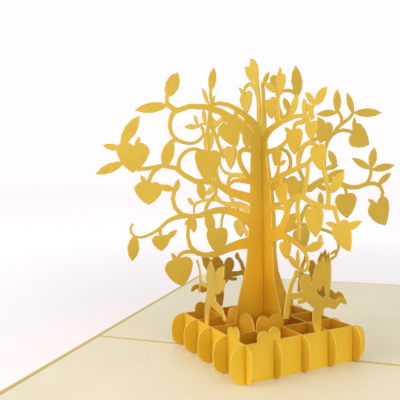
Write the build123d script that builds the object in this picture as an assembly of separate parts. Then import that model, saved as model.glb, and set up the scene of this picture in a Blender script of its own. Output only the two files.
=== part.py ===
from build123d import *
import os
from math import ceil, copysign, cos, pi, sin, sqrt

# A square greetings card that opens flat to two pages. A sliceform base of ten slotted card
# strips stands over the fold, five along each diagonal, and the two middle strips grow into
# the crossed panels of a tree. All lengths are in millimetres.
# Frame: X runs along the fold, -Y is the near page, Z is up, and the card lies on Z = 0.

# Cover sheet and cream liners
page_size = 150.0
cover_thickness = 0.5
liner_thickness = 0.3
liner_margin = 2.6
fold_gap = 2.2
score_width = 0.8
score_depth = 0.2

# Dome-shaped window cut in the front cover, with a small tree left standing in it
window_width = 86.0
window_rise = 39.5
window_floor = 29.5

# Slotted strips of the base
strip_thickness = 0.5
strip_pitch = 11.7
strip_height = 13.0
slot_play = 0.3
slot_end_gap = 0.25
strips_each_way = 5

# How far the round end tabs stick out past the crossings, on the strips that run toward the
# front right and on those that run toward the back right
tab_front_right = 4.2
tab_back_right = 5.9
tab_squareness = 2.6

# Height where the slots of the two tree panels meet, how far the tree's roots reach down into
# their strips, and how high over the strips the roots are slotted for the neighbouring strips
tree_slot_height = 47.0
root_depth = 1.8
root_slot_rise = 13.0

# Bushes on the strips' top edges: a low lobe on the left and a tall one on the right
bush_rise = 4.5
bush_step = 0.8
bush_width = 9.2
bush_from_corner = 4.8
bush_beside_slot = 7.4
root_bush_rise = 5.0
root_bush_width = 8.0
lobe_overlap = 0.3
slot_clearance = 0.1

# Where each archer stands, measured from the middle of its wall
archer_front_left = -3.7
archer_front_right = 7.0
archer_back_right = 6.0
archer_back_left = -7.0

# How the cut outlines are drawn: branches thin by this power, and curved edges are cut as
# short straight stretches that each turn by about this many degrees
limb_taper = 2.2
facet_turn = 17.0
tab_facets = 12

base_z = cover_thickness + liner_thickness
wall_top = base_z + strip_height
root_z = wall_top - root_depth
over_wall = wall_top + 1
slot_width = strip_thickness + slot_play
slot_side = slot_width / 2 + slot_clearance
outer_offset = strip_pitch * (strips_each_way - 1) / 2
diagonal = 1 / sqrt(2)
toward_front_right = Vector(diagonal, -diagonal, 0)
toward_back_right = Vector(diagonal, diagonal, 0)


# Cut-paper shapes, drawn flat in the plane of a strip as (distance along it, height)
def flat_shape(points):
    return make_face(Polyline(*points, close=True))


def stretches(points):
    """How many straight stretches a curve through these points is cut in."""
    chords = [Vector(*after) - Vector(*before) for before, after in zip(points, points[1:])]
    turn = sum(one.get_angle(other) for one, other in zip(chords, chords[1:]))
    return 2 + ceil(turn / facet_turn)


def along(curve, count):
    """Points at equal steps along a curve, without its last one."""
    return [curve @ (step / count) for step in range(count)]


def limb(points, root_width, tip_width):
    """A curling branch that thins from root to tip along a smooth line through its points."""
    line = Spline(*points)
    count = stretches(points)
    left = []
    right = []
    for step in range(count + 1):
        share = step / count
        width = tip_width + (root_width - tip_width) * (1 - share) ** limb_taper
        across = (line % share).rotate(Axis.Z, 90) * (width / 2)
        left.append((line @ share) + across)
        right.append((line @ share) - across)
    return flat_shape(left + right[::-1])


def leaf(foot, tip, breadth):
    """A pointed leaf between two arcs."""
    start = Vector(*foot)
    end = Vector(*tip)
    side = (end - start).normalized().rotate(Axis.Z, 90) * (breadth / 2)
    middle = (start + end) * 0.5
    near_arc = ThreePointArc(start, middle + side, end)
    far_arc = ThreePointArc(end, middle - side, start)
    return flat_shape(along(near_arc, 4) + along(far_arc, 4))


def heart(notch, tip, breadth):
    """A heart fruit given by the notch between its lobes and by its tip."""
    top = Vector(*notch)
    bottom = Vector(*tip)
    down = bottom - top
    side = down.normalized().rotate(Axis.Z, 90) * (breadth / 2)
    points = []
    for hand in (1, -1):
        widest = top + side * hand + down * 0.2
        crown = top + side * (0.5 * hand) - down * 0.14
        flank = top + side * (0.68 * hand) + down * 0.63
        lobe = ThreePointArc(top, crown, widest)
        edge = ThreePointArc(widest, flank, bottom)
        if hand > 0:
            points += along(lobe, 6) + along(edge, 3)
        else:
            points += [bottom] + (along(lobe, 6) + along(edge, 3))[:0:-1]
    return flat_shape(points)


def blob(middle, half_width, half_height, count=12):
    """An oval cut in straight stretches."""
    x, z = middle
    turns = [2 * pi * step / count for step in range(count)]
    return flat_shape([(x + half_width * cos(turn), z + half_height * sin(turn)) for turn in turns])


def trunk(left_edge, right_edge):
    """A trunk between two edges that both run from the root to the top."""
    left = Spline(*left_edge)
    right = Spline(*right_edge)
    left_points = along(left, len(left_edge)) + [left @ 1]
    right_points = along(right, len(right_edge)) + [right @ 1]
    return flat_shape(left_points + right_points[::-1])


# Tree panel A, from the back left corner side to the front right one
trunk_a_left = [(-11.1, root_z), (-11.0, root_z + 4.5), (-10.6, 20.5), (-8.9, 26), (-6.9, 34),
                (-6.1, 44), (-5.7, 56), (-5.2, 70), (-3.8, 83)]
trunk_a_right = [(11.1, root_z), (11.0, root_z + 4.5), (10.6, 21), (8.2, 26), (6.5, 34),
                 (6.0, 44), (5.6, 56), (4.5, 67), (3.2, 74), (3.4, 83)]
limbs_a = [
    ([(-2.6, 78), (-2.0, 86), (-1.9, 93), (-2.2, 100), (-3.0, 105), (-3.4, 108)], 4.0, 2.2),
    # right side, from the top down
    ([(0.8, 81), (3.6, 86), (10.5, 89), (16.5, 90), (21.5, 90.5), (26.5, 90), (30, 89.5)],
     3.4, 1.4),
    ([(30, 88.5), (29.5, 91), (31, 94)], 1.9, 1.3),
    ([(17, 89.5), (18.5, 92)], 1.9, 1.7),
    ([(9.5, 88), (10.5, 93), (10.5, 97.5), (12.5, 101.5)], 2.2, 1.4),
    ([(26, 89), (24.5, 88), (21.5, 88), (20, 85)], 1.9, 1.5),
    ([(26.5, 90), (27.5, 88), (29, 86)], 1.7, 1.4),
    ([(2.5, 79), (9, 79.5), (16, 82.5), (19, 85.5)], 2.2, 1.4),
    ([(0, 64.5), (5, 67), (10, 69), (17, 71), (23, 72.5), (29, 74.5), (32.5, 78)], 3.1, 1.5),
    ([(23, 72.5), (22, 76), (24, 79), (27.5, 80.5), (32, 79)], 1.9, 1.5),
    ([(27, 74), (27, 69.5), (26, 66), (24.5, 62)], 1.8, 1.5),
    ([(5, 67), (10.5, 72), (10, 77)], 1.9, 1.4),
    ([(0.5, 44), (8.5, 48), (13.5, 52), (15.5, 56.5), (17.5, 60.5), (21, 62.5), (25, 62),
      (28.5, 60.5), (32.5, 59.5), (36.5, 59), (41, 59)], 5.2, 1.6),
    ([(40, 59.5), (41, 56.5), (42.5, 53)], 1.7, 1.3),
    ([(22, 62.5), (21.5, 57.5), (22, 54), (22, 47)], 2.2, 1.5),
    ([(37, 59), (37.5, 63), (36.5, 67.5), (34.5, 73.5)], 1.8, 1.5),
    ([(29, 60.5), (30, 58.5), (30, 56.5)], 2.0, 1.7),
    ([(-0.5, 55.5), (6, 57.5), (15, 57.5)], 2.7, 1.4),
    ([(14, 57.5), (15, 60), (13, 64.5), (12, 70)], 1.9, 1.2),
    ([(0.5, 43.5), (8.5, 47), (14, 47.5), (18, 46.5), (22, 45), (25.5, 43), (27, 40.2),
      (26.4, 37.3), (24, 36.3), (21.4, 37.2)], 5.1, 1.1),
    ([(14, 48), (14, 43.5)], 1.4, 1.2),
    ([(24, 44), (28, 45.2)], 1.5, 1.4),
    # left side, from the top down
    ([(-2.6, 101), (-5, 105), (-9, 107), (-12, 106), (-12, 102)], 2.4, 1.5),
    ([(-2.5, 83), (-8, 87.5), (-15, 92.5), (-23, 95.5), (-31, 95.5), (-38, 93), (-43, 88)],
     4.6, 2.0),
    ([(-36, 94), (-41, 97.5), (-44, 105)], 1.7, 1.4),
    ([(-40, 91.5), (-46, 95), (-55.5, 94.5)], 1.5, 1.2),
    ([(-27, 95), (-33, 91), (-36, 86), (-33, 81.5), (-34, 77.5), (-32, 73.5), (-25.5, 71),
      (-18, 70)], 1.9, 1.4),
    ([(-3, 70), (-11, 69.5), (-20, 70.5), (-26, 69), (-27, 65), (-24.5, 61), (-20, 57)],
     3.2, 1.6),
    ([(-2, 50), (-8, 54.5), (-14.5, 57.5), (-22, 58), (-30.5, 58), (-36.5, 60.5), (-39, 64),
      (-38, 68)], 5.1, 1.5),
    ([(-29, 58), (-41, 59.5), (-52, 58.5), (-61, 56)], 1.7, 1.2),
    ([(-23, 58), (-30.5, 54), (-33, 49.5), (-32.5, 45)], 1.7, 1.4),
    ([(-57, 57.8), (-60.5, 54), (-59.5, 50)], 1.5, 1.3),
    ([(-2, 38), (-8, 43), (-14, 48), (-18, 52), (-18.5, 58)], 4.2, 1.5),
]
leaves_a = [
    ((-3, 106.6), (-7.2, 117), 5.6),
    ((-3, 106.6), (-11.8, 114.6), 4.6),
    ((18.5, 91), (22, 98), 3.4),
    ((26, 89.8), (25.5, 96), 2.6),
    ((30.8, 93.2), (26.5, 98), 2.4),
    ((30.8, 92.8), (37, 98), 3.8),
    ((29, 90), (27.6, 94), 1.8),
    ((10.9, 100.2), (1.4, 105.8), 2.8),
    ((38, 63.5), (44.5, 70.5), 3.9),
    ((43.5, 52), (51.8, 55.6), 2.4),
    ((42, 53), (36, 54), 1.9),
    ((22, 36.6), (15.4, 40.8), 2.6),
    ((21.6, 36.4), (21.4, 43.5), 1.9),
    ((25.6, 43.6), (35, 47.4), 3.2),
    ((32.6, 46), (33.8, 50), 2.0),
    ((10.3, 73.5), (15, 75.2), 1.8),
    ((-43.7, 104), (-50, 112.5), 2.8),
    ((-43, 101), (-37.5, 107), 2.6),
    ((-47, 95.2), (-49.5, 102.5), 3.6),
    ((-54, 94.5), (-70.5, 96.2), 2.9),
    ((-54.5, 94.6), (-59, 101), 2.6),
    ((-37.5, 66), (-48, 61.5), 3.4),
    ((-60, 51), (-61.5, 42.5), 4.6),
    ((-60.5, 56.3), (-67.5, 59.5), 3.0),
    ((-38.5, 67), (-43, 74.5), 3.2),
]
hearts_a = [
    ((12.4, 105.8), (12.3, 99.4), 5.2),
    ((5.4, 98.2), (6.5, 91.2), 7.0),
    ((20, 85), (20, 77), 9.0),
    ((29.1, 87), (29.2, 81.4), 6.0),
    ((32.2, 78.5), (33.6, 71.2), 7.2),
    ((12, 66), (12.5, 59), 7.6),
    ((30, 57.4), (31, 48.8), 9.4),
    ((42.4, 53.2), (46.8, 45.8), 8.2),
    ((14, 44.8), (14.9, 39.3), 7.0),
    ((9.8, 79), (8.5, 73.4), 6.0),
    ((-11.6, 103.2), (-10.6, 95.6), 9.0),
    ((-24.2, 82), (-24.4, 73), 10.0),
    ((-43.6, 89), (-46.6, 80.6), 9.6),
    ((-17.9, 50.8), (-16.6, 44.4), 8.6),
    ((-32.6, 46), (-32.2, 37.4), 9.6),
]
stalks_a = [
    ((12.4, 105), (12, 109.4), 1.6),
    ((18.6, 84), (14.6, 87.2), 1.8),
    ((-12.2, 102.6), (-16.6, 107), 1.6),
]
ties_a = [
    ((9.5, 89.5), (7.2, 98), 1.8),
    ((-32.5, 82), (-24.3, 81.2), 1.8),
]

# Tree panel B, from the front left corner side to the back right one
trunk_b_left = [(-13.4, root_z), (-13.0, root_z + 4.5), (-12.1, 20.3), (-10.7, 25.8), (-8.2, 34.5),
                (-7.0, 44), (-6.2, 56), (-5.6, 72), (-4.8, 83), (-2.0, 89)]
trunk_b_right = [(13.4, root_z), (13.0, root_z + 4.5), (11.4, 21), (8.8, 27), (6.6, 34), (6.1, 44),
                 (5.7, 56), (4.6, 66), (3.2, 74), (2.4, 83), (1.0, 89)]
limbs_b = [
    # left side, from the top down
    ([(-1.5, 87), (-5.4, 91.3), (-8.8, 93.7), (-13.6, 96.1), (-18.3, 97), (-23, 95.8)], 4.0, 1.4),
    ([(-21.5, 96), (-22.5, 98.5), (-22.5, 101.8)], 1.6, 1.1),
    ([(-3, 82), (-9, 88.2), (-14.5, 92), (-20, 94.4), (-26, 95.4), (-32, 95), (-37.5, 92.8)],
     5.0, 1.8),
    ([(-36, 94), (-38.7, 90.5), (-39, 86.5), (-37, 83.4), (-33.5, 82), (-29.5, 82), (-27, 83.5),
      (-25.7, 85.5), (-26.7, 88)], 1.9, 1.1),
    ([(-36.5, 93), (-39.7, 95.3)], 2.0, 1.7),
    ([(-39.5, 94.5), (-40.2, 96.5), (-40, 98.6)], 1.4, 1.3),
    ([(-22.6, 95), (-23.4, 90.2), (-24, 86.2), (-23.6, 82.2), (-23.4, 77.5)], 1.6, 1.3),
    ([(-23, 91.5), (-21.6, 87), (-20, 83), (-18.6, 79.8), (-17, 76.5)], 1.6, 1.3),
    ([(-2, 59.5), (-10, 62.5), (-15, 64), (-18.5, 66), (-22, 68), (-26, 67.6), (-29, 68),
      (-32.5, 69.5), (-35, 71.5), (-37.5, 73), (-41, 73.7), (-46, 73), (-51.5, 72.4)], 4.2, 1.5),
    ([(-35, 71.3), (-36, 74.5), (-34.5, 77.5), (-31.5, 79.5), (-25.5, 78)], 1.5, 1.3),
    ([(-37, 83), (-40.5, 80.5), (-42, 77), (-41, 73.5)], 1.5, 1.4),
    ([(-43, 73.3), (-45.5, 71.7), (-47, 69.5), (-47.5, 66.5)], 1.6, 1.4),
    ([(-2, 48.5), (-8.5, 54), (-14, 56.5), (-18.5, 57.2), (-23, 56.7), (-27.5, 55.5), (-32, 55.4),
      (-35.5, 56.5), (-37.7, 59), (-38.5, 62), (-37.5, 65.3)], 5.0, 1.5),
    ([(-33.5, 55.7), (-37, 55.2), (-40.5, 54), (-43, 52), (-46.5, 50), (-50, 48.9), (-52.7, 49.2),
      (-54.2, 50.7), (-54.5, 52.2), (-53.4, 53.8)], 2.0, 0.8),
    ([(-43.5, 51.8), (-43.3, 47.8)], 1.2, 1.1),
    ([(-3, 44), (-9.5, 43.9), (-15.2, 42.8), (-22.8, 40.7), (-28.2, 41.4), (-31.4, 43.9),
      (-32.7, 48), (-32.4, 52), (-31, 55.5)], 5.2, 1.3),
    ([(-28, 41.8), (-32.5, 42.6), (-35.5, 42), (-36.5, 38.6)], 1.5, 1.4),
    ([(-3, 68.3), (-9.5, 68), (-14, 67.8), (-15.5, 64)], 2.4, 1.3),
    ([(-5, 67.5), (-8.5, 72), (-10.5, 76), (-10.3, 79), (-7.5, 80), (-3.5, 78.5)], 2.0, 1.9),
    ([(-18.5, 66), (-20.5, 70.5), (-20.5, 75)], 1.8, 1.4),
    ([(-22, 67.7), (-21.6, 62.5), (-24.5, 59.5), (-25, 56)], 1.3, 1.4),
    ([(0.4, 84), (0.9, 92), (0.8, 99), (0.4, 106)], 3.4, 1.4),
    # right side, from the top down
    ([(0.8, 85), (4.5, 88.5), (9, 91), (12.5, 94.5), (13.5, 98)], 3.1, 1.7),
    ([(10.5, 91.7), (8, 96.5), (7.6, 102)], 1.7, 1.4),
    ([(7, 101.5), (10, 103.3), (13.5, 103.8), (16.6, 102.4), (15.6, 98.5), (12.5, 94)], 1.2, 1.5),
    ([(1, 63), (6.5, 66.6), (12, 67), (18, 65), (22, 64), (26.5, 66.5), (32, 68), (37, 67.2),
      (42.5, 65.2), (49, 64.6), (54, 65.8), (58, 66.2), (62, 65.2), (64, 62.5), (63.4, 59.5),
      (60.6, 56.4)], 4.6, 1.7),
    ([(33, 67.5), (31, 71.5), (30.8, 77), (31.5, 81.5), (33.5, 85.2), (37, 88), (41.5, 89),
      (47.8, 87.6)], 2.0, 1.5),
    ([(33, 84.5), (28.5, 85.5), (24.5, 84), (20.5, 82), (18.5, 78.5), (17.5, 73.5), (19.5, 69),
      (22.5, 64.5)], 1.7, 1.6),
    ([(36, 87.4), (40, 91.3), (44, 93.7), (47.4, 97.2)], 1.7, 1.3),
    ([(40, 91), (40.2, 94.5), (37.8, 97)], 1.5, 1.3),
    ([(53, 65.5), (56, 68), (57, 71), (57.2, 74)], 1.8, 1.4),
    ([(38, 67.2), (42, 64.5), (42.5, 59.5)], 1.7, 1.4),
    ([(2, 65.5), (5.5, 68), (10, 69.7), (13, 72.5), (13.5, 76.5), (11.5, 79.6), (7.5, 80.4),
      (3.5, 79)], 2.0, 1.3),
    ([(2, 57), (7, 58.6), (12, 59)], 2.0, 1.4),
    ([(1, 45), (5.5, 47), (12, 48.6), (17.5, 49.7), (22.5, 49.2), (28.5, 47.6), (35.5, 45),
      (38.2, 41.5), (38, 37.8), (35.8, 35.2), (33, 34)], 4.2, 1.0),
    ([(16, 49), (18.5, 52), (22, 57.6), (26.5, 57.2), (31.5, 57), (37, 56), (41.5, 58)], 1.9, 1.4),
    ([(18, 50), (18.5, 46)], 1.4, 1.2),
]
leaves_b = [
    ((-22.6, 101), (-21, 110), 3.3),
    ((-39.3, 95.2), (-52.3, 92.7), 3.7),
    ((-40.2, 97.6), (-35.8, 107), 5.2),
    ((-57.6, 80.3), (-50.5, 91), 4.4),
    ((-57, 79.3), (-63.8, 80.5), 2.3),
    ((-56, 75), (-66.4, 70.8), 3.3),
    ((-38, 83), (-41, 73), 3.6),
    ((-27.8, 68.5), (-26, 60.8), 3.7),
    ((-37, 65), (-44.5, 66.6), 2.5),
    ((-37.4, 64), (-36, 69), 2.2),
    ((-53, 50), (-54, 40.8), 4.3),
    ((-41.6, 47.6), (-36.8, 50.7), 2.2),
    ((-31, 56), (-30, 49.3), 3.2),
    ((-29.5, 55.5), (-34.2, 52.3), 1.8),
    ((-24.5, 56.8), (-22.5, 48.8), 4.4),
    ((-6.5, 80), (-8.6, 86.5), 2.6),
    ((-18.6, 94), (-15.2, 89.8), 2.2),
    ((-12.4, 91), (-11.2, 96), 1.8),
    ((-8.4, 87.6), (-6.6, 93.4), 1.8),
    ((0.4, 105), (3.6, 110.6), 2.0),
    ((17.6, 101.6), (16.4, 114), 5.4),
    ((13.4, 95), (10.5, 100.8), 3.0),
    ((38, 96), (38, 106), 4.2),
    ((47, 96), (43.5, 105), 3.3),
    ((46.8, 96.6), (63.6, 97.4), 3.9),
    ((38.4, 96.4), (26.8, 95), 3.0),
    ((57, 72.6), (59.2, 82), 4.6),
    ((57.4, 72.2), (46, 77.2), 3.2),
    ((57, 72), (71.4, 74.2), 3.5),
    ((60.8, 65.4), (69.2, 70.8), 3.1),
    ((37.4, 73.4), (33.3, 80.3), 3.6),
    ((30.8, 72.2), (38.6, 74.2), 2.4),
    ((31.4, 69), (42, 72.2), 2.6),
    ((11, 48), (15.6, 54.8), 4.6),
    ((26.5, 66), (32.6, 63.6), 2.4),
    ((29, 56.5), (28.6, 63), 3.0),
]
hearts_b = [
    ((-53, 80.4), (-53.3, 71.2), 12.2),
    ((-24, 78.2), (-24.4, 67.5), 10.6),
    ((-47.5, 67), (-47.6, 60), 10.8),
    ((-43.2, 48.5), (-43, 43.6), 7.0),
    ((-36.6, 39.2), (-35, 30.2), 11.2),
    ((-20.6, 49.5), (-20.6, 41), 8.8),
    ((-15.8, 89), (-11.4, 81), 9.4),
    ((7.7, 108.4), (7.6, 101.4), 7.4),
    ((47.2, 87.8), (56, 83.2), 10.8),
    ((31.4, 91.4), (28.6, 83), 9.0),
    ((42.4, 60.8), (43, 51.4), 12.0),
    ((60.6, 57.2), (65.4, 47.2), 13.0),
    ((17, 67.6), (13.6, 60.8), 9.4),
    ((18.4, 47.2), (19.6, 39.2), 8.4),
]
stalks_b = [
    ((-52, 79.6), (-50.7, 83.6), 1.8),
    ((-48.2, 66.4), (-50.4, 70.4), 1.9),
    ((-36.8, 38.8), (-39.3, 42.8), 1.8),
    ((7.9, 107.8), (9, 112), 1.8),
    ((47.4, 87.4), (47.6, 94.8), 2.2),
    ((30.6, 90.4), (27.4, 94), 1.6),
    ((60.2, 56.6), (55.2, 59.2), 1.9),
]
ties_b = [
    ((-57.6, 81.4), (-54.5, 78.5), 2.4),
    ((-22.5, 49.4), (-20.6, 50.2), 1.6),
    ((-24.2, 68), (-24, 66.8), 2.0),
    ((10.8, 58.8), (16.5, 60.4), 2.4),
    ((38, 38.6), (33.4, 36.4), 1.2),
]


def tree_sheet(trunk_edges, limbs, leaves, hearts, stalks):
    """All the cut shapes of one tree panel as one flat sheet, without its strip."""
    shapes = [trunk(*trunk_edges)]
    shapes += [limb(*entry) for entry in limbs]
    shapes += [leaf(*entry) for entry in leaves + stalks]
    shapes += [heart(*entry) for entry in hearts]
    return shapes


# Winged archers on the outer walls, drawn with the standing foot at (0, 0) and the bow
# toward -X; the foot reaches down into the wall
leaning_limbs = [
    ([(0.3, -1), (-0.4, 4), (0, 7.6), (1.4, 11)], 1.8, 4.6),
    ([(0.8, 10), (4.4, 10), (7.8, 8.8)], 4.8, 3.2),
    ([(7.2, 8.4), (9, 9.4), (11, 10.8)], 2.8, 1.8),
    ([(2, 9.4), (-1.6, 11.8), (-4.6, 15.4)], 5.2, 5.0),
    ([(-4, 14.6), (-8, 13.9), (-12.6, 14.4)], 2.8, 2.0),
    ([(-3.4, 14.4), (-6.6, 11.8), (-8.8, 11.8)], 1.9, 1.4),
    ([(-9, 21.8), (-10.6, 19.8), (-12, 16.8), (-12.8, 13.4), (-13.4, 10), (-13.8, 6.6)], 1.3, 2.0),
]
leaning_foot = [((10.4, 11.2), (13.4, 8.4), 2.0)]
raised_wings = [
    ((-1.4, 13.2), (0.6, 25.4), 3.6),
    ((0.7, 14.4), (3, 26.8), 4.4),
    ((4.4, 10.6), (4.8, 26), 2.8),
]
spread_wings = [
    ((-2.2, 14), (2.6, 23.2), 5.0),
    ((-1.6, 13), (8.2, 22.4), 5.4),
]
leaning_ovals = [((-5.2, 18.2), 2.5, 3.2), ((-9.2, 21.6), 1.1, 1.5)]

upright_limbs = [
    ([(0, -1), (0.2, 3.5), (1.2, 8), (3.2, 11.5)], 1.8, 4.2),
    ([(3.5, 10.2), (7.5, 8.6), (11.6, 7.8)], 4.6, 2.6),
    ([(10.6, 8.4), (12.4, 7), (13.4, 4.8)], 2.2, 1.2),
    ([(3.2, 9.5), (3.8, 13.5), (4.4, 17)], 5.0, 6.4),
    ([(3.5, 16.2), (-0.6, 14.8), (-5, 15.6)], 2.4, 1.4),
    ([(-7.6, 23.4), (-5.2, 19.6), (-4.8, 15.6), (-6, 11.2)], 1.0, 0.9),
]
upright_leaves = [
    ((3.4, 12.5), (3.8, 24.8), 6.2),
    ((5, 12.5), (13.4, 24.2), 6.2),
    ((7, 13), (14.6, 19.4), 3.6),
]
upright_ovals = [((2.6, 18.2), 2.4, 2.8)]


def archer(pose, foot_at, facing):
    """An archer on a wall's top edge; the bow points toward facing, -1 or 1 along the wall."""
    limbs, leaves, ovals = pose
    shapes = [limb(*entry) for entry in limbs]
    shapes += [leaf(*entry) for entry in leaves]
    shapes += [blob(*entry) for entry in ovals]
    drawing = Sketch() + shapes
    if facing > 0:
        drawing = mirror(drawing, about=Plane.YZ)
    return Pos(foot_at, wall_top) * drawing


leaning = (leaning_limbs, leaning_foot + raised_wings, leaning_ovals)
leaning_with_wings_spread = (leaning_limbs, leaning_foot + spread_wings, leaning_ovals)
upright = (upright_limbs, upright_leaves, upright_ovals)


def lobe(left, right, rise):
    """A round-topped lobe on a strip's top edge, between two places along the strip."""
    half = (right - left) / 2
    crown = min(half, rise)
    middle = (left + right) / 2
    crown_z = wall_top + rise - crown
    body = Pos(middle, (crown_z + root_z) / 2) * Rectangle(2 * half, crown_z - root_z)
    return [blob((middle, crown_z), half, crown, 20), body]


def bush(left, width):
    """A bush whose left side stands at a place along the strip."""
    middle = left + width / 2
    low_lobe = lobe(left, middle + lobe_overlap, bush_rise - bush_step)
    tall_lobe = lobe(middle - lobe_overlap, left + width, bush_rise)
    return low_lobe + tall_lobe


# Strips
def strip_outline(tab_reach):
    """A strip's side view: a long rectangle with a full-height round tab at each end."""
    half_height = strip_height / 2
    points = []
    for end in (-1, 1):
        for step in range(tab_facets + 1):
            turn = pi * (step / tab_facets - 0.5)
            reach = tab_reach * abs(cos(turn)) ** (2 / tab_squareness)
            rise = copysign(half_height * abs(sin(turn)) ** (2 / tab_squareness), sin(turn))
            points.append((end * (outer_offset + reach), base_z + half_height + end * rise))
    return [flat_shape(points)]


def crossings():
    """Where the other five strips cross a strip, measured from its middle."""
    return [strip_pitch * number - outer_offset for number in range(strips_each_way)]


def slots_from_below(middle_slot_top=None):
    """Half-lap slots open at the bottom edge; the middle one may be longer."""
    cuts = []
    for place in crossings():
        top = base_z + strip_height / 2 + slot_end_gap
        if middle_slot_top and abs(place) < strip_pitch / 2:
            top = middle_slot_top + slot_end_gap
        cuts.append(Pos(place, top / 2) * Rectangle(slot_width, top))
    return cuts


def slots_from_above(open_top, middle_slot_bottom=None):
    """Half-lap slots open at the top edge; the middle one may start higher."""
    cuts = []
    for place in crossings():
        bottom = base_z + strip_height / 2 - slot_end_gap
        top = open_top
        if middle_slot_bottom and abs(place) < strip_pitch / 2:
            bottom = middle_slot_bottom - slot_end_gap
            top = open_top + page_size
        cuts.append(Pos(place, (bottom + top) / 2) * Rectangle(slot_width, top - bottom))
    return cuts


def strip_plane(direction, offset):
    """The upright plane of a strip that runs along one diagonal, offset along the other."""
    sideways = toward_back_right if direction is toward_front_right else toward_front_right
    origin = sideways * offset
    return Plane(origin=origin, x_dir=direction, z_dir=direction.cross(Vector(0, 0, 1)))


def cut_sheet(shapes, cuts, direction, offset):
    """Joins flat shapes, cuts the slots and gives the sheet its thickness."""
    sheet = (Sketch() + shapes) - cuts
    placed = strip_plane(direction, offset) * sheet
    return extrude(placed, amount=strip_thickness / 2, both=True)


def save(shape, node):
    shape.label = node
    export_step(shape, f"parts/{node}.step")


# Cover and liners
def cover_window():
    """The dome-shaped opening in the cover, less the small tree that stays in it."""
    half = window_width / 2
    corner = 0.82
    sag = window_floor / sqrt(1 - corner ** 2)
    outline = []
    for step in range(25):
        turn = pi * step / 24
        outline.append((half * cos(turn), window_rise * sin(turn)))
    for step in range(6):
        depth = window_floor * step / 5
        outline.append((-half * sqrt(1 - (depth / sag) ** 2), -depth))
    outline += [(-x, z) for x, z in outline[:24:-1]]
    ground = -window_floor
    growth = [
        trunk([(-7, ground - 1), (-4.6, ground + 7), (-4.2, -8), (-3.2, 6)],
              [(7, ground - 1), (4.6, ground + 7), (4.2, -8), (3.2, 6)]),
        limb([(0, 2), (1.6, 12), (0.4, 24), (-2, window_rise + 1)], 6.4, 2.0),
    ]
    for side in (-1, 1):
        branches = [
            ([(1, -14), (12, -8), (22, -9), (31, -5), (half + 0.5, -4)], 4.4, 2.0),
            ([(1, -2), (11, 5), (20, 6), (30, 11), (half - 2, 17)], 4.4, 2.0),
            ([(1, 8), (9, 17), (17, 20), (24, 27), (26, 34)], 4.0, 2.0),
            ([(14, -8), (20, -14), (28, -17), (33, -13), (30, -9.5)], 2.2, 1.4),
            ([(24, 8), (29, 3), (35, 3), (37, 8)], 2.0, 1.4),
            ([(14, 18.5), (11, 25), (14, 31), (13, 38.5)], 2.2, 1.4),
            ([(18, 6), (21, 12), (27, 16), (32, 20), (30, 25)], 2.0, 1.4),
        ]
        leaves = [
            ((9, -9), (13, -2), 4.0),
            ((21, -14.5), (19, -22), 4.4),
            ((31, -5), (30, 2), 3.6),
            ((6, 2), (5.4, 10), 3.4),
            ((14, 5.5), (14, 13), 4.0),
            ((36.5, 7), (36, 13.5), 3.2),
            ((12, 27), (5, 31), 3.8),
            ((30.5, 24), (27, 29), 3.4),
            ((20, 23), (20, 31), 4.0),
            ((0.5, 20), (6.5, 25), 3.4),
        ]
        fruits = [
            ((12, -8.5), (12, -15.5), 7.4),
            ((30, -16.5), (31.5, -24), 7.4),
            ((21, 6.5), (22, -0.5), 7.0),
            ((8.4, 16), (8.6, 10.4), 5.0),
            ((33.5, 13.5), (34.5, 19.5), 5.0),
        ]
        shapes = [limb(*entry) for entry in branches]
        shapes += [leaf(*entry) for entry in leaves]
        shapes += [heart(*entry) for entry in fruits]
        half_tree = Sketch() + shapes
        growth.append(half_tree if side > 0 else mirror(half_tree, about=Plane.YZ))
    return flat_shape(outline) - growth


def cover():
    """One gold sheet, scored along the fold, with the window in its near half."""
    sheet = Rectangle(page_size, 2 * page_size)
    window = Pos((window_floor - window_rise) / 2, -page_size / 2) * (Rot(0, 0, -90) * cover_window())
    body = extrude(sheet - window, amount=cover_thickness)
    groove = Polyline((-score_width / 2, 0), (0, -score_depth), (score_width / 2, 0), close=True)
    groove_plane = Plane(origin=(-page_size / 2, 0, cover_thickness), x_dir=(0, 1, 0),
                         z_dir=(1, 0, 0))
    return body - extrude(groove_plane * make_face(groove), amount=page_size)


def liner(side):
    """A cream sheet glued on one page; side is -1 for the near page and 1 for the far one."""
    width = page_size - 2 * liner_margin
    inner = fold_gap / 2
    depth = page_size - liner_margin - inner
    sheet = Rectangle(width, depth)
    middle = side * (inner + depth / 2)
    return Pos(0, middle, cover_thickness) * extrude(sheet, amount=liner_thickness)


os.makedirs("parts", exist_ok=True)

save(cover(), "cover")
save(liner(-1), "liner_near_page")
save(liner(1), "liner_far_page")

# Strips that run from the back left to the front right, slotted from above
front_right_strip = strip_outline(tab_front_right)
first_bush = bush(strip_pitch + slot_side, bush_beside_slot)
save(cut_sheet(front_right_strip + [archer(upright, archer_front_left, -1)] + first_bush,
               slots_from_above(over_wall), toward_front_right, -outer_offset), "wall_front_left")
root_bush = (lobe(slot_side - root_bush_width, -slot_side, root_bush_rise)
             + lobe(slot_side, strip_pitch - slot_side, root_bush_rise))
save(cut_sheet(front_right_strip + root_bush, slots_from_above(over_wall),
               toward_front_right, -strip_pitch), "rib_behind_front_left_wall")
tree_a = tree_sheet((trunk_a_left, trunk_a_right), limbs_a, leaves_a, hearts_a,
                    stalks_a + ties_a)
save(cut_sheet(front_right_strip + tree_a,
               slots_from_above(wall_top + root_slot_rise, tree_slot_height),
               toward_front_right, 0), "tree_panel_a")
save(cut_sheet(front_right_strip, slots_from_above(over_wall),
               toward_front_right, strip_pitch), "rib_before_back_right_wall")
last_bush = bush(-strip_pitch - slot_side - bush_beside_slot, bush_beside_slot)
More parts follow.
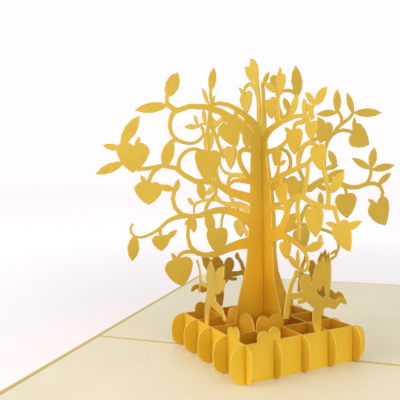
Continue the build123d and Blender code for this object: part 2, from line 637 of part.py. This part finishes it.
save(cut_sheet(front_right_strip + [archer(leaning, archer_back_right, -1)] + last_bush,
               slots_from_above(over_wall), toward_front_right, outer_offset), "wall_back_right")

# Strips that run from the front left to the back right, slotted from below
back_right_strip = strip_outline(tab_back_right)
corner_bush = bush(bush_from_corner - outer_offset, bush_width)
save(cut_sheet(back_right_strip + [archer(leaning, archer_front_right, -1)] + corner_bush,
               slots_from_below(), toward_back_right, outer_offset), "wall_front_right")
root_bush = (lobe(slot_side - strip_pitch, lobe_overlap - strip_pitch / 2, root_bush_rise)
             + lobe(-strip_pitch / 2 - lobe_overlap, slot_side, root_bush_rise))
save(cut_sheet(back_right_strip + root_bush, slots_from_below(),
               toward_back_right, strip_pitch), "rib_behind_front_right_wall")
tree_b = tree_sheet((trunk_b_left, trunk_b_right), limbs_b, leaves_b, hearts_b,
                    stalks_b + ties_b)
save(cut_sheet(back_right_strip + tree_b, slots_from_below(tree_slot_height),
               toward_back_right, 0), "tree_panel_b")
save(cut_sheet(back_right_strip, slots_from_below(),
               toward_back_right, -strip_pitch), "rib_before_back_left_wall")
back_left_archer = archer(leaning_with_wings_spread, archer_back_left, 1)
save(cut_sheet(back_right_strip + [back_left_archer] + corner_bush,
               slots_from_below(), toward_back_right, -outer_offset), "wall_back_left")
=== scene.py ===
from math import sqrt

import bpy
from mathutils import Matrix, Vector

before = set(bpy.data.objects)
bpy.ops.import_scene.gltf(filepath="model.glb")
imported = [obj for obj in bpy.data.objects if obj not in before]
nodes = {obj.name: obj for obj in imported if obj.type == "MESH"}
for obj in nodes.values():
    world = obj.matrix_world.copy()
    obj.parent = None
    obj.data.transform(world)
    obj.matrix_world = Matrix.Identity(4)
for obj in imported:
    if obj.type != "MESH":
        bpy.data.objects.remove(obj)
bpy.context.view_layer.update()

# Colours are linear. The card is gold pearl stock, the sheets glued on it are cream.
GOLD = (0.60, 0.385, 0.022)
GOLD_LIGHT = (0.755, 0.50, 0.047)
GOLD_CUT_EDGE = (0.74, 0.49, 0.068)
GOLD_GLOSS = (1.0, 0.90, 0.62)
COVER_GOLD = (0.52, 0.39, 0.078)
COVER_GOLD_LIGHT = (0.63, 0.485, 0.126)
CREAM = (0.77, 0.71, 0.51)
CREAM_LIGHT = (0.84, 0.785, 0.59)
CREAM_CUT_EDGE = (0.77, 0.70, 0.50)
FLOOR = (0.97, 0.935, 0.95)
STUDIO_WHITE = (1, 0.98, 0.99)
WARM_WHITE = (1, 0.985, 0.95)
PLAIN_WHITE = (1, 1, 1)

GOLD_METALLIC = 0.18
GOLD_ROUGHNESS = 0.46
CREAM_ROUGHNESS = 0.55
FLOOR_ROUGHNESS = 0.8

# Scales of the card's grain, and how far its fibres stand out, in metres
SPECKLE_SCALE = 2600
CLOUD_SCALE = 60
FIBRE_SCALE = 700
FIBRE_HEIGHT = 0.00006
FIBRE_STRENGTH = 0.25

# Tints of the gold that paint light and shade: painted warm bounce light on the base's outside
# (at the walls' top and foot, stronger at the foot), painted shade and warm inter-reflection
# within the base, painted warm bounce light at the trunk's foot, painted shade on the figures
# that stand on the walls, and painted shade in the tree's crown
WALL_TOP_PAINTED_BOUNCE = (1.00, 0.95, 0.67)
WALL_FOOT_PAINTED_BOUNCE = (1.14, 1.13, 0.75)
INSIDE_PAINTED_SHADE = (1.00, 0.74, 0.30)
TRUNK_PAINTED_BOUNCE = (1.22, 1.01, 0.42)
FIGURE_PAINTED_SHADE = (0.72, 0.68, 0.58)
CROWN_PAINTED_SHADE = (0.82, 0.83, 0.92)

# Heights between which one tint gives way to the next, in metres
WALL_TOP = 0.0138
WALL_FOOT_TO_TOP = (0.001, WALL_TOP)
BASE_TO_TREE = (WALL_TOP - 0.0002, WALL_TOP + 0.0050)
FIGURES_TO_CROWN = (0.025, 0.055)
TRUNK_TO_CROWN = (WALL_TOP, 0.080)

# The same for distances out from the tree's axis
WALL_OFFSET = 0.0234
TRUNK_TO_AIR = (0.006, 0.018)
INSIDE_TO_OUTSIDE = (WALL_OFFSET - 0.0001, WALL_OFFSET + 0.0001)

# The floor's own glow to the camera, and between which distances from the card it comes in
FLOOR_GLOW = 0.26
SHADOW_TO_GLOW = (0.12, 0.45)
FLOOR_HALF = 40.0

# The studio: which way its bright wall and ceiling lie, how soft their border is, and how
# strongly they and the room on the viewer's side light the card
TOWARD_WALL = (0, 0.66, 0.75)
WALL_BORDER = 0.35
WALL_STRENGTH = 0.745
ROOM_STRENGTH = 0.515

DIAGONAL = 1 / sqrt(2)
FRONT_RIGHT = (DIAGONAL, -DIAGONAL, 0)
BACK_RIGHT = (DIAGONAL, DIAGONAL, 0)
UP = (0, 0, 1)

# Strips that run from the back left to the front right face the back right, and the other
# way about
STRIPS_FACING_BACK_RIGHT = (
    "wall_front_left",
    "rib_behind_front_left_wall",
    "tree_panel_a",
    "rib_before_back_right_wall",
    "wall_back_right",
)
STRIPS_FACING_FRONT_RIGHT = (
    "wall_front_right",
    "rib_behind_front_right_wall",
    "tree_panel_b",
    "rib_before_back_left_wall",
    "wall_back_left",
)


class Wiring:
    """Short ways to add and wire the nodes of a material or a world."""

    def __init__(self, tree):
        self.tree = tree

    def wire(self, source, target):
        self.tree.links.new(source, target)

    def feed(self, value, socket):
        """Puts a number or a colour into a socket, or wires another node's output to it."""
        if isinstance(value, (int, float)):
            socket.default_value = value
        elif isinstance(value, tuple):
            socket.default_value = (*value, 1)
        else:
            self.wire(value, socket)

    def add(self, kind, inputs, **settings):
        """inputs gives values or outputs by the name or the number of the socket."""
        node = self.tree.nodes.new(kind)
        for setting, value in settings.items():
            setattr(node, setting, value)
        for socket, value in inputs.items():
            self.feed(value, node.inputs[socket])
        return node

    def math(self, operation, first, second):
        return self.add("ShaderNodeMath", {0: first, 1: second}, operation=operation).outputs[0]

    def noise(self, coordinates, scale, detail, roughness=0.5, distortion=0.0):
        inputs = {
            "Vector": coordinates,
            "Scale": scale,
            "Detail": detail,
            "Roughness": roughness,
            "Distortion": distortion,
        }
        return self.add("ShaderNodeTexNoise", inputs).outputs["Fac"]

    def remap(self, value, low, high, to_low, to_high, curve="LINEAR"):
        inputs = {
            "Value": value,
            "From Min": low,
            "From Max": high,
            "To Min": to_low,
            "To Max": to_high,
        }
        return self.add("ShaderNodeMapRange", inputs, interpolation_type=curve).outputs["Result"]

    def fade(self, value, low, high):
        """0 up to the low value and 1 from the high one."""
        return self.remap(value, low, high, 0.0, 1.0)

    def height(self, coordinates):
        return self.add("ShaderNodeSeparateXYZ", {0: coordinates}).outputs["Z"]

    def dot(self, coordinates, axis):
        node = self.add("ShaderNodeVectorMath", {0: coordinates}, operation="DOT_PRODUCT")
        node.inputs[1].default_value = axis
        return node.outputs["Value"]

    def distance_along(self, coordinates, axis):
        """Distance along an axis, whichever way."""
        return self.math("ABSOLUTE", self.dot(coordinates, axis), 0)

    def mix(self, share, first, second, blend="MIX"):
        """A colour mix has its sockets at 0, 6 and 7, and its result at 2."""
        inputs = {0: share, 6: first, 7: second}
        return self.add("ShaderNodeMix", inputs, data_type="RGBA", blend_type=blend).outputs[2]

    def seen_as_background(self):
        """1 for the rays that show the background, straight, in gloss or through glass."""
        ray = self.add("ShaderNodeLightPath", {}).outputs
        straight_or_gloss = self.math("MAXIMUM", ray["Is Camera Ray"], ray["Is Glossy Ray"])
        return self.math("MAXIMUM", straight_or_gloss, ray["Is Transmission Ray"])


class Shader(Wiring):
    """A new material with its Principled shader."""

    def __init__(self, name):
        self.material = bpy.data.materials.new(name)
        self.material.use_nodes = True
        super().__init__(self.material.node_tree)
        self.sockets = self.tree.nodes["Principled BSDF"].inputs


def card(name, face_axis, dark, light, cut_edge, roughness, painted_light_tint=None):
    """Card or paper: fine speckle over its faces, and a cut edge of its own colour all round.

    face_axis is the direction that the sheet's two faces look in. The last argument, if given, is a
    function that works out a tint of painted light and shade from the shader and the place.
    """
    shader = Shader(name)
    place = shader.add("ShaderNodeTexCoord", {}).outputs["Object"]
    speckle = shader.noise(place, SPECKLE_SCALE, 3, 0.6)
    cloud = shader.noise(place, CLOUD_SCALE, 2)
    fibre = shader.noise(place, FIBRE_SCALE, 4, 0.65, 0.6)

    # Up to 0.55 of the lighter colour comes in specks, and up to 0.45 in wide clouds
    share = shader.math("ADD", shader.remap(speckle, 0.35, 0.65, 0.0, 0.55),
                        shader.remap(cloud, 0.3, 0.7, 0.1, 0.45))
    face = shader.mix(share, dark, light)
    # Multiplies in the painted light and shade, where a tint of it is given
    if painted_light_tint:
        face = shader.mix(1.0, face, painted_light_tint(shader, place), "MULTIPLY")

    normal = shader.add("ShaderNodeNewGeometry", {}).outputs["True Normal"]
    on_edge = shader.remap(shader.distance_along(normal, face_axis), 0.6, 0.8, 1.0, 0.0)
    shader.wire(shader.mix(on_edge, face, cut_edge), shader.sockets["Base Color"])
    shader.wire(shader.remap(fibre, 0.3, 0.7, roughness - 0.06, roughness + 0.08),
                shader.sockets["Roughness"])

    relief = {"Strength": FIBRE_STRENGTH, "Distance": FIBRE_HEIGHT, "Height": fibre}
    bump = shader.add("ShaderNodeBump", relief)
    shader.wire(bump.outputs["Normal"], shader.sockets["Normal"])
    return shader


def gold_card(name, face_axis, dark=GOLD, light=GOLD_LIGHT, painted_light_tint=None):
    shader = card(name, face_axis, dark, light, GOLD_CUT_EDGE, GOLD_ROUGHNESS, painted_light_tint)
    shader.feed(GOLD_METALLIC, shader.sockets["Metallic"])
    shader.feed(GOLD_GLOSS, shader.sockets["Specular Tint"])
    return shader.material


def strip_painted_light(shader, place):
    """Painted light and shade on the gold: warm and deep within the base and on the trunk, where it
    stands for shade and warm bounce light between the sheets; paler and darker outside them, as
    painted shade on the figures and in the crown.
    """
    height = shader.height(place)
    outward = shader.math("MAXIMUM", shader.distance_along(place, BACK_RIGHT),
                          shader.distance_along(place, FRONT_RIGHT))
    above_walls = shader.fade(height, *BASE_TO_TREE)
    inside = shader.mix(above_walls, INSIDE_PAINTED_SHADE, TRUNK_PAINTED_BOUNCE)
    wall = shader.mix(shader.fade(height, *WALL_FOOT_TO_TOP), WALL_FOOT_PAINTED_BOUNCE, WALL_TOP_PAINTED_BOUNCE)
    base = shader.mix(shader.fade(outward, *INSIDE_TO_OUTSIDE), inside, wall)
    crown = shader.mix(shader.fade(height, *FIGURES_TO_CROWN), FIGURE_PAINTED_SHADE, CROWN_PAINTED_SHADE)
    off_trunk = shader.math("MAXIMUM", shader.fade(outward, *TRUNK_TO_AIR),
                            shader.fade(height, *TRUNK_TO_CROWN))
    return shader.mix(shader.math("MULTIPLY", off_trunk, above_walls), base, crown)


def floor_material():
    """Pale and matt. Away from the card it is seen as white as the studio behind it."""
    shader = Shader("pale_floor")
    shader.feed(FLOOR, shader.sockets["Base Color"])
    shader.feed(FLOOR_ROUGHNESS, shader.sockets["Roughness"])
    shader.feed(STUDIO_WHITE, shader.sockets["Emission Color"])
    place = shader.add("ShaderNodeNewGeometry", {}).outputs["Position"]
    from_card = shader.add("ShaderNodeVectorMath", {0: place}, operation="LENGTH")
    glow = shader.remap(from_card.outputs["Value"], *SHADOW_TO_GLOW, 0.0, FLOOR_GLOW)
    shader.wire(shader.math("MULTIPLY", glow, shader.seen_as_background()),
                shader.sockets["Emission Strength"])
    return shader.material


def paint(obj, material):
    obj.data.materials.clear()
    obj.data.materials.append(material)


def floor():
    """A plain pale floor, level with the card's underside."""
    half = FLOOR_HALF
    mesh = bpy.data.meshes.new("floor")
    corners = [(-half, -half, 0), (half, -half, 0), (half, half, 0), (-half, half, 0)]
    mesh.from_pydata(corners, [], [(0, 1, 2, 3)])
    sheet = bpy.data.objects.new("floor", mesh)
    bpy.context.collection.objects.link(sheet)
    paint(sheet, floor_material())
    return sheet


def soft_light(name, place, aim, size, watts, colour):
    lamp = bpy.data.lights.new(name, "AREA")
    lamp.size = size
    lamp.energy = watts
    lamp.color = colour
    holder = bpy.data.objects.new(name, lamp)
    holder.location = place
    holder.rotation_euler = (Vector(aim) - Vector(place)).to_track_quat("-Z", "Y").to_euler()
    bpy.context.collection.objects.link(holder)


def studio():
    """A bright wall and ceiling behind the card, and a dimmer room on the viewer's side.

    Seen straight or in gloss, the studio is white all round.
    """
    world = bpy.data.worlds.new("studio")
    world.use_nodes = True
    wiring = Wiring(world.node_tree)
    background = world.node_tree.nodes["Background"].inputs
    direction = wiring.add("ShaderNodeTexCoord", {}).outputs["Generated"]
    lit = wiring.remap(wiring.dot(direction, TOWARD_WALL), -WALL_BORDER, WALL_BORDER,
                       ROOM_STRENGTH, WALL_STRENGTH, "SMOOTHSTEP")
    shown = wiring.add("ShaderNodeMix", {"Factor": wiring.seen_as_background(), "A": lit, "B": 1.0})
    wiring.feed(STUDIO_WHITE, background["Color"])
    wiring.wire(shown.outputs["Result"], background["Strength"])
    bpy.context.scene.world = world


def photo_camera():
    """The camera at the photo's place and angle, turned by its own right and upward axes."""
    lens = bpy.data.cameras.new("camera")
    lens.sensor_width = 36
    lens.lens = 45.27
    lens.shift_x = 0.0245
    lens.shift_y = -0.0193
    lens.clip_start = 0.01
    camera = bpy.data.objects.new("camera", lens)
    place = (0.037089, -0.194614, 0.067998)
    right = Vector((0.94556, 0.32517, -0.01314))
    upward = Vector((0.00546, 0.02453, 0.99968))
    backward = right.cross(upward).normalized()
    upward = backward.cross(right)
    turn = Matrix((right, upward, backward)).transposed().to_4x4()
    camera.matrix_world = Matrix.Translation(place) @ turn
    bpy.context.collection.objects.link(camera)
    return camera


# Materials of the CAD nodes
cream = card("cream_paper", UP, CREAM, CREAM_LIGHT, CREAM_CUT_EDGE, CREAM_ROUGHNESS).material
for node_name in ("liner_near_page", "liner_far_page"):
    paint(nodes[node_name], cream)

paint(nodes["cover"], gold_card("gold_cover", UP, COVER_GOLD, COVER_GOLD_LIGHT))

# The strips' gold carries the painted light and shade of the strip tint
for face_axis, facing, strips in (
    (BACK_RIGHT, "back_right", STRIPS_FACING_BACK_RIGHT),
    (FRONT_RIGHT, "front_right", STRIPS_FACING_FRONT_RIGHT),
):
    material = gold_card(f"gold_card_facing_{facing}", face_axis, painted_light_tint=strip_painted_light)
    for node_name in strips:
        paint(nodes[node_name], material)

# Floor, lights and camera
floor()
studio()
soft_light("left_light", (-0.55, -0.45, 0.22), (0, 0, 0.05), 0.45, 3.3, WARM_WHITE)
soft_light("front_light", (0.17, -0.36, 0.19), (0, 0, 0.05), 0.20, 0.43, WARM_WHITE)
soft_light("right_light", (0.27, -0.195, 0.11), (-0.04, -0.04, 0.085), 0.08, 0.16, PLAIN_WHITE)
bpy.context.scene.camera = photo_camera()
bpy.context.scene.view_settings.view_transform = "Standard"
